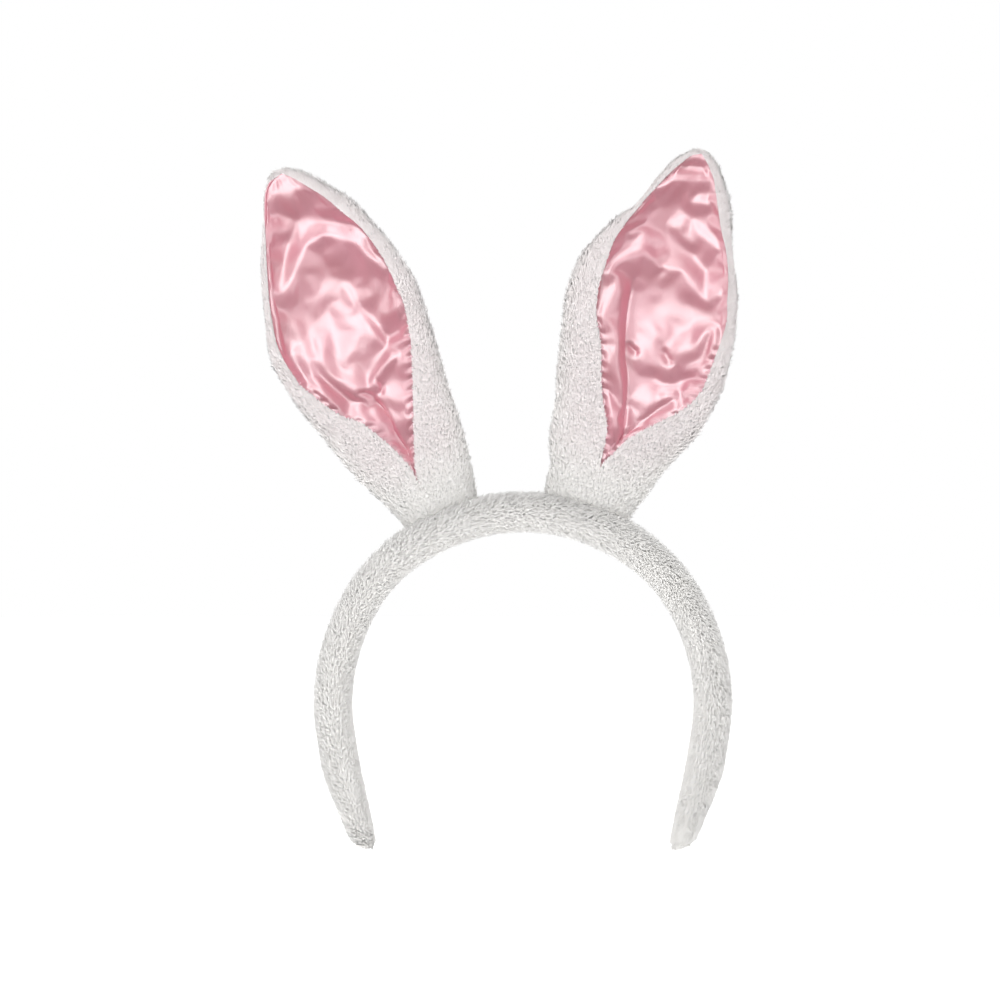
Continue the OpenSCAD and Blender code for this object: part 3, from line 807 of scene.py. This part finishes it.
def fold(u, v, path, height, left, right, ends=0.18):
    """Height of one fold: a ridge, or a valley if negative, with its own width on each side of its path."""
    path = rounded_path(path)
    a, b = path[:-1], path[1:]
    run = b - a
    size = np.sum(run**2, axis=1)
    place = np.stack([u.ravel(), v.ravel()], axis=1)
    best = np.full(len(place), 1e9)
    signed = np.zeros(len(place))
    share = np.zeros(len(place))
    for i in range(len(a)):
        t = np.clip((place - a[i]) @ run[i] / size[i], 0, 1)
        off = place - a[i] - t[:, None] * run[i]
        distance = np.linalg.norm(off, axis=1)
        nearer = distance < best
        best = np.where(nearer, distance, best)
        cross = run[i][0] * off[:, 1] - run[i][1] * off[:, 0]
        signed = np.where(nearer, np.sign(cross) * distance, signed)
        share = np.where(nearer, (i + t) / len(a), share)
    width = np.where(signed > 0, left, right)
    profile = np.exp(-((signed / width) ** 2))
    fade = smoothstep(share, 0, ends) * (1 - smoothstep(share, 1 - ends, 1))
    return (height * profile * np.maximum(fade, 0.0)).reshape(u.shape)


SATIN_COLUMNS, SATIN_ROWS = 121, 261
SATIN_FOOT = 8.0  # height where the satin begins
SATIN_T = 0.4
HOLLOW = 0.8  # depth of the satin's hollow where it is narrow
HOLLOW_GAIN = 5.8  # what it gains where it is wide
FOLD_SOFTENING = 10  # passes that round the folds off
WAVINESS = 0.3  # height of the satin's shallow waves
CLOTH_SCALE = 0.05  # the cloth is simulated in units of 20 mm, where its stiffness settings suit it
SPARE_CLOTH = 0.014  # how much larger the satin is cut than the hole it is sewn into
BUCKLE_FRAMES = 14
MOST_MOVED = 1.2  # furthest that the simulation may move a point of the satin
TUCK = 0.9  # how far the satin runs on below the plush's lip
STITCH_STEP = 3.9  # from one stitch of the satin's edge to the next
STITCH_FROM, STITCH_TO = 24.0, 66.0  # heights between which those stitches show
STITCH_THREAD = 0.22  # radius of their thread
PUCKER = 0.2  # height of the puckers beside them
WIRE_FROM, WIRE_TO = 0.5, 118  # heights of the wire's straight legs
WIRE_R = 0.6
WIRE_IN = 1.2  # how far the wire lies inside the backing
WADDING_FROM, WADDING_TO = 22, 116
WADDING_T, WADDING_EDGE = 1.9, 0.3  # what its middle adds to the thickness of its edge


def softened(field, passes):
    """Field of values with each one drawn towards its neighbours."""
    for _ in range(passes):
        wide = np.pad(field, 1, mode="edge")
        around = wide[:-2, 1:-1] + wide[2:, 1:-1] + wide[1:-1, :-2] + wide[1:-1, 2:]
        field = (4 * field + around) / 8
    return field


def let_buckle(front):
    """Cloth simulation of a sheet that is sewn along its edge and cut a little too large for it."""
    coarse = front[::2, ::2]
    rows, columns, _ = coarse.shape
    points, quads = (coarse * CLOTH_SCALE / MM).reshape(-1, 3), grid_quads(rows, columns)
    sheet = mesh_from_arrays("satin_cloth", points, quads.ravel(), np.full(len(quads), 4))
    index = np.arange(rows * columns).reshape(rows, columns)
    inner = np.zeros((rows, columns), bool)
    inner[2:-2, 2:-2] = True
    sheet.vertex_groups.new(name="sewn").add(index[~inner].tolist(), 1.0, "REPLACE")
    cloth = sheet.modifiers.new("Cloth", "CLOTH")
    settings = dict(
        quality=6, mass=0.2, tension_stiffness=15, compression_stiffness=15, shear_stiffness=8,
        bending_stiffness=0.6, vertex_group_mass="sewn", shrink_min=-SPARE_CLOTH, shrink_max=-SPARE_CLOTH,
    )
    for key, value in settings.items():
        setattr(cloth.settings, key, value)
    cloth.settings.effector_weights.gravity = 0
    cloth.collision_settings.use_collision = False
    cloth.point_cache.frame_end = BUCKLE_FRAMES
    for step in range(1, BUCKLE_FRAMES + 1):
        bpy.context.scene.frame_set(step)
    settled = sheet.evaluated_get(bpy.context.evaluated_depsgraph_get()).to_mesh()
    places = np.zeros(rows * columns * 3, np.float32)
    settled.vertices.foreach_get("co", places)
    moved = places.reshape(coarse.shape) / CLOTH_SCALE - coarse
    bpy.data.objects.remove(sheet)
    bpy.context.scene.frame_set(1)
    size = np.linalg.norm(moved, axis=2, keepdims=True)
    moved *= np.minimum(1, MOST_MOVED / np.maximum(size, 1e-6))
    down = np.linspace(0, rows - 1.001, front.shape[0])
    r, c = np.meshgrid(down, np.linspace(0, columns - 1.001, front.shape[1]), indexing="ij")
    moved = blend_grid(moved, r.ravel(), c.ravel()).reshape(front.shape)
    return front + np.stack([softened(moved[..., k], 5) for k in range(3)], axis=-1)


def satin_grid(ear):
    """Satin from edge to edge, with a hollow, the listed folds, and puckers along its sewn edges."""
    x = np.linspace(-1, 1, SATIN_COLUMNS)
    x = (0.75 * x + 0.25 * np.sin(x * math.pi / 2))[None]
    v = np.linspace(SATIN_FOOT, ear.satin_top, SATIN_ROWS)[:, None]
    left = np.maximum(ear.satin_edge(v, -1) - TUCK, 0.3 - ear.half(v, -1))
    right = np.minimum(ear.satin_edge(v, 1) + TUCK, ear.half(v, 1) - 0.3)
    u = (left + right) / 2 + (right - left) / 2 * x
    rim = ear.rim_y(v, -1) * (1 - x) / 2 + ear.rim_y(v, 1) * (1 + x) / 2
    wide = smoothstep(right - left, 4, 30)
    rise = 0.45 + 0.55 * smoothstep(v, 35, 88)
    deep = (ear.depth(v) / (BASE_DEPTH + BASE_GAIN)) ** 1.5
    hollow = (HOLLOW + HOLLOW_GAIN * wide * rise) * deep * (1 - np.abs(x) ** 2.4)
    y = rim + 0.7 + hollow
    away = (1 - np.abs(x)) * (right - left) / 2
    free = smoothstep(away, 0.8, 4.5)
    u, v = u + 0 * v, v + 0 * u
    lift = softened(sum(fold(u, v, *f) for f in ear.folds), FOLD_SOFTENING)
    lift += softened(sum(fold(u, v, *f) for f in ear.creases), 2)
    lift += WAVINESS * np.sin(0.42 * u + 0.17 * v + ear.side) * np.sin(0.31 * v - 0.16 * u)
    sewn = 1 - smoothstep(v, 62, 74)
    pucker = PUCKER * np.cos(2 * math.pi * v / STITCH_STEP + 1.3 * np.sign(x))
    pucker = pucker * np.exp(-(((away - 1.6) / 1.8) ** 2))
    y = y - lift * free - pucker * sewn
    front = let_buckle(ear.place(u, y, v))
    front[..., 1] = np.minimum(front[..., 1], ear.origin[1] + ear.room(u, v))
    return front, u, v


def build_satin(ear):
    front, u, v = satin_grid(ear)
    satin = shell(f"{ear.word}_ear_satin", front[:, ::-1], SATIN_T)
    layer = satin.data.uv_layers.new(name="Cloth")
    corner = np.zeros(len(satin.data.loops), np.int32)
    satin.data.loops.foreach_get("vertex_index", corner)
    flat = np.stack([u[:, ::-1].ravel(), v[:, ::-1].ravel()], axis=1) * MM
    flat = np.vstack([flat, flat])
    layer.data.foreach_set("uv", flat[corner].astype(np.float32).ravel())
    finish_in_ear(satin, SATIN, ear, "satin")


def build_edge_stitches(ear):
    """Small pink stitches over the satin's sewn edges."""
    stitches = []
    for edge in (-1, 1):
        for v in np.arange(STITCH_FROM, STITCH_TO, STITCH_STEP):
            u = ear.satin_edge(np.array(v), edge)
            y = ear.rim_y(np.array(v), edge)
            t = np.linspace(-1, 1, 5)
            path = ear.place(u - edge * (0.4 + 0.7 * t), y + 0.35 - 0.45 * (1 - t**2), v + 0.5 * t)
            stitches.append(tube("stitch", path, STITCH_THREAD, 6))
    seam = joined(f"{ear.word}_ear_edge_stitches", stitches)
    finish_in_ear(seam, PINK_THREAD, ear, "seam")


def build_wire(ear):
    """Wire loop inside the ear's edge, from the base up one side, over and down the other."""
    v = np.linspace(WIRE_FROM, WIRE_TO, 46)
    legs = []
    for edge in (-1, 1):
        u = edge * (ear.half(v, edge) - CLOTH - WIRE_IN)
        y = -ear.cup(v) + WIRE_IN
        legs.append(ear.place(u, y, v))
    a, b = legs[0][-1], legs[1][-1]
    turn = np.linspace(0, math.pi, 15)[1:-1, None]
    over = (a + b) / 2 + (a - b) / 2 * np.cos(turn) + (5.0 * ear.up + np.array([0, 2.6, 0])) * np.sin(turn)
    wire = tube(f"{ear.word}_ear_wire_loop", np.vstack([legs[0], over, legs[1][::-1]]), WIRE_R, 8)
    finish_in_ear(wire, WIRE, ear, "wire")


def build_wadding(ear):
    """Thin quilted pad between the plush and the satin."""
    v = np.linspace(WADDING_FROM, WADDING_TO, 48)[:, None]
    x = np.linspace(-1, 1, 25)[None]
    u = x * WADDING_REACH * ear.half_by(x, v)
    back = ear.back(u, v) - CLOTH - 0.4
    thick = WADDING_T * ear.wadding_share(u, v) + WADDING_EDGE
    tuft = 0.12 * np.sin(v / 3.1) * np.cos(x * 9)
    grid = ear.place(u, back - thick + tuft, v + 0 * x)
    pad = shell(f"{ear.word}_ear_wadding", grid, thick[..., None])
    finish_in_ear(pad, WADDING, ear, "wadding")


def build_ear(ear):
    build_plush(ear)
    build_satin(ear)
    build_edge_stitches(ear)
    build_wire(ear)
    build_wadding(ear)


# Half widths of each ear's outline and of its satin, by height: the left edge, then the right edge.
# A fold or crease is its path as (across, height) points, its height, its width to the left and right of
# the path, and the share of the path over which each end fades out.
LEFT_EAR = Ear(
    "left", -1, 140.4,
    plush=(
        [(-6, 12), (0, 12.5), (10, 16), (25, 22), (45, 27.5), (60, 31.5), (74, 33), (90, 28.6), (107, 22.6),
         (124, 14.2), (134, 9.4), (138, 6), (141, 3)],
        [(-6, 17), (0, 18.5), (10, 21), (25, 23.5), (45, 25.7), (60, 28), (80, 30), (95, 28), (107, 24.6),
         (117, 21), (126, 15), (134, 9), (138, 5), (141, 2)],
    ),
    satin=(
        [(-6, -0.2), (8, -0.2), (11, 0.5), (15, 1.1), (22, 2.6), (30, 5.8), (39, 10.5), (47, 18), (56, 23),
         (64, 26.5), (77, 28), (90, 25.5), (107, 19.8), (124, 13), (132, 9.4), (135, 7), (137.2, 4),
         (138, 0.2)],
        [(-6, -0.2), (8, -0.2), (11, 0.5), (15, 1.1), (22, 3.4), (30, 6.8), (39, 10.5), (56, 17.5),
         (64, 20), (77, 22.5), (90, 22.5), (98, 21.4), (107, 19.3), (115, 15.4), (124, 11), (132, 5.4),
         (136, 2.4), (138, 0.2)],
    ),
    folds=[
        ([(-16, 80), (-14, 94), (-9, 104), (-1, 110), (7, 109), (13, 102), (17, 93), (19, 81)],
         1.7, 4.0, 5.2, 0.2),
        ([(-3, 119), (-9, 113), (-14, 106), (-18, 97)], -1.3, 4.5, 4.5, 0.35),
        ([(-7, 124), (-1, 127), (5, 125)], 1.3, 6.9, 6.9, 0.45),
        ([(-16, 92), (-18, 78), (-20, 62), (-17, 52), (-13, 46)], 1.4, 3.2, 3.2, 0.25),
        ([(-23, 92), (-24, 70), (-22, 57)], -1.1, 3.5, 3.5, 0.35),
        ([(-11, 87), (-13, 72), (-14, 62), (-8, 52), (-3, 48)], 1.3, 5.2, 2.0, 0.25),
        ([(-4, 80), (-2, 68), (-1, 56)], 1.1, 8.1, 8.1, 0.45),
        ([(4, 93), (5, 80), (7, 69), (9, 60)], 1.3, 1.8, 6.2, 0.3),
        ([(9, 62), (9, 58), (4, 55), (0, 52), (-3, 48)], 1.3, 2.1, 2.1, 0.25),
        ([(10, 75), (16, 74), (22, 72)], 1.2, 3.5, 3.2, 0.35),
        ([(8, 68), (14, 66), (20, 67)], -1.4, 3.2, 3.2, 0.35),
        ([(6, 84), (12, 85), (19, 87)], 0.9, 5.0, 5.0, 0.4),
        ([(-12, 49), (-9, 43), (-7, 37)], 0.8, 3.2, 3.5, 0.4),
        ([(-5, 46), (-4, 40), (-3, 33)], 0.8, 2.2, 2.2, 0.4),
        ([(5, 47), (6, 38), (5, 28)], 0.9, 3.5, 3.5, 0.4),
    ],
    creases=[
        ([(-3, 48), (-1, 42), (0, 30), (1, 20), (0, 12)], -1.5, 0.9, 2.4, 0.15),
        ([(-8, 52), (-4, 50), (-1, 46)], -0.8, 0.8, 1.4, 0.3),
        ([(1, 54), (2, 50), (0, 47)], -0.9, 1.0, 0.8, 0.3),
    ],
)

RIGHT_EAR = Ear(
    "right", 1, 138.8,
    plush=(
        [(-6, 19.5), (0, 20.5), (9, 21), (17, 24), (34, 26.5), (43, 28.8), (60, 32), (73, 34), (86, 33),
         (94, 29.6), (103, 24.8), (111, 18.6), (120, 15), (128, 11.4), (133, 8), (136, 5), (138, 2)],
        [(-6, 13), (0, 14.4), (9, 18), (17, 20.6), (26, 24.8), (34, 29), (43, 31.5), (56, 33.7), (69, 33),
         (86, 30), (103, 22.9), (120, 16.8), (128, 11.8), (133, 8.4), (136, 5), (138, 2)],
    ),
    satin=(
        [(-6, 2), (9, 2.2), (13, 3), (18, 3.6), (26, 4.4), (34, 8), (43, 11.8), (52, 14.4), (60, 17.5),
         (69, 21.6), (80, 23), (94, 22.5), (103, 20), (111, 16.7), (120, 12.6), (128, 8.3), (133, 5),
         (135, 3.2), (136.4, 0.2)],
        [(-6, -2.4), (9, -2.4), (13, -1.9), (18, 0.6), (26, 5.2), (34, 13), (43, 22), (52, 26), (64, 27),
         (77, 27.5), (86, 25.3), (94, 23.4), (103, 20), (111, 15.6), (120, 11.4), (128, 7.7), (133, 4),
         (135, 2), (136.4, 0.2)],
    ),
    folds=[
        ([(-13, 117), (-7, 123), (-1, 126), (7, 128)], 1.5, 2.6, 5.0, 0.2),
        ([(-10, 127), (-4, 130), (2, 131.5), (7, 132)], -1.2, 3.2, 3.2, 0.3),
        ([(-22, 78), (-18, 87), (-13, 93), (-8, 94), (-2, 88)], 1.7, 2.5, 4.5, 0.2),
        ([(-14, 88), (-13, 74), (-10, 60), (-5, 46), (-2, 32), (0, 20)], 2.5, 2.4, 6.9, 0.16),
        ([(-9, 84), (-8, 72), (-4, 58), (0, 45), (3, 30)], -1.1, 5.2, 2.0, 0.25),
        ([(3, 54), (8, 51), (14, 50), (20, 54), (22, 51)], -1.5, 3.0, 3.5, 0.25),
        ([(10, 45), (15, 46), (20, 48)], 1.1, 4.2, 4.2, 0.4),
        ([(21, 50), (17, 45), (10, 37), (4, 28), (1, 20)], -1.5, 3.5, 2.0, 0.2),
        ([(3, 22), (9, 31), (15, 40), (21, 44)], 1.1, 2.8, 2.8, 0.2),
        ([(19, 60), (20, 71), (23, 74), (26, 68), (26, 57)], 1.4, 2.2, 2.2, 0.2),
        ([(12, 70), (16, 65), (18, 59)], 1.0, 5.2, 5.2, 0.45),
        ([(0, 97), (5, 92), (12, 87), (18, 88)], 1.4, 5.8, 5.8, 0.35),
        ([(5, 102), (12, 98), (19, 91)], -1.1, 4.0, 4.0, 0.35),
        ([(-6, 103), (-1, 108), (4, 112)], 0.9, 3.5, 4.0, 0.4),
        ([(-4, 117), (2, 118), (8, 116)], 0.9, 5.0, 5.0, 0.4),
        ([(0, 122), (5, 122), (10, 124)], -0.8, 3.0, 3.0, 0.35),
        ([(9, 121), (14, 113), (19, 104)], -1.1, 3.8, 3.5, 0.35),
        ([(-15, 105), (-11, 98), (-6, 99)], 0.7, 4.5, 3.5, 0.4),
    ],
    creases=[
        ([(-11, 87), (-10, 74), (-7, 60), (-2, 46), (1, 31), (2, 19)], -1.2, 0.9, 0.9, 0.15),
        ([(-7, 61), (-3, 59), (0, 58)], -1.0, 1.1, 1.5, 0.3),
        ([(7, 63), (10, 60), (13, 57)], -0.9, 1.4, 2.0, 0.35),
    ],
)


# ---- carried-over parts ----

def dress_cad_nodes():
    """Better materials on the CAD parts whose shape is right."""
    looks = {"stitches": WHITE_THREAD, "wire_ends": WIRE, "wire_tape": TAPE}
    for name, node in frame["nodes"].items():
        for ending, mat in looks.items():
            if name.endswith(ending):
                node.data.materials.clear()
                node.data.materials.append(mat)


# ---- stage ----

def build_floor():
    bpy.ops.mesh.primitive_circle_add(vertices=128, radius=4.0, fill_type="NGON")
    floor = bpy.context.object
    floor.name = "floor"
    floor.location = (0, 0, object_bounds()[0][2] - 0.2 * MM)
    mat = material("floor_paper", (0.93, 0.93, 0.93), 0.95, Specular_IOR_Level=0.1)
    mottle(mat, 30, (0.92, 0.92, 0.92), (0.94, 0.94, 0.94))
    shader_of(mat).inputs["Emission Color"].default_value = (1, 1, 1, 1)
    shader_of(mat).inputs["Emission Strength"].default_value = 0.75
    floor.data.materials.append(mat)
    floor.visible_glossy = False


LIT_PLACE = Vector((0, 0, 0.08))


def area_light(name, place, size, power):
    data = bpy.data.lights.new(name, "AREA")
    data.shape = "DISK"
    data.size = size
    data.energy = power
    light = bpy.data.objects.new(name, data)
    light.location = place
    light.rotation_euler = (LIT_PLACE - Vector(place)).to_track_quat("-Z", "Y").to_euler()
    bpy.context.scene.collection.objects.link(light)


def build_light():
    scene = bpy.context.scene
    scene.view_settings.view_transform = "Standard"
    world = bpy.data.worlds.new("studio")
    world.use_nodes = True
    nodes, links = world.node_tree.nodes, world.node_tree.links
    seen, lit = nodes["Background"], nodes.new("ShaderNodeBackground")
    seen.inputs["Color"].default_value = (1, 1, 1, 1)
    place = nodes.new("ShaderNodeTexCoord")
    height = nodes.new("ShaderNodeSeparateXYZ")
    sky = nodes.new("ShaderNodeMapRange")
    for socket, value in (("From Min", -0.4), ("From Max", 0.9), ("To Min", 0.09), ("To Max", 0.53)):
        sky.inputs[socket].default_value = value
    links.new(place.outputs["Generated"], height.inputs["Vector"])
    links.new(height.outputs["Z"], sky.inputs["Value"])
    links.new(sky.outputs["Result"], lit.inputs["Color"])
    path = nodes.new("ShaderNodeLightPath")
    mix = nodes.new("ShaderNodeMixShader")
    links.new(path.outputs["Is Camera Ray"], mix.inputs["Fac"])
    links.new(lit.outputs["Background"], mix.inputs[1])
    links.new(seen.outputs["Background"], mix.inputs[2])
    links.new(mix.outputs["Shader"], nodes["World Output"].inputs["Surface"])
    scene.world = world
    for name, place, size, power in (
        ("key", (-0.3, -1.48, 0.68), 1.1, 9.2),
        ("top", (-0.2, -0.8, 1.5), 0.9, 6),
        ("fill", (0.95, -1.3, 0.3), 0.8, 2.5),
        ("side", (-1.3, -0.9, 0.3), 0.7, 2.8),
        ("back", (0.3, 1.2, 0.9), 0.9, 10),
        ("left_rim", (-1.35, 0.4, 0.4), 0.8, 3),
        ("right_rim", (1.35, 0.3, 0.4), 0.8, 3.6),
    ):
        area_light(name, place, size, power)


def build_camera():
    data = bpy.data.cameras.new("camera")
    data.sensor_width = 36.0
    data.lens = 192.0
    camera = bpy.data.objects.new("camera", data)
    camera.location = (-0.0086, -2.0, 0.076)
    camera.rotation_euler = (math.pi / 2, 0, 0)
    bpy.context.scene.collection.objects.link(camera)
    bpy.context.scene.camera = camera


build_camera()
build_light()
for side, word in ((-1, "left"), (1, "right")):
    build_sleeve(side, word)
    build_core(side, word)
    build_sleeve_seam(side, word)
build_ear(LEFT_EAR)
build_ear(RIGHT_EAR)
dress_cad_nodes()
build_floor()
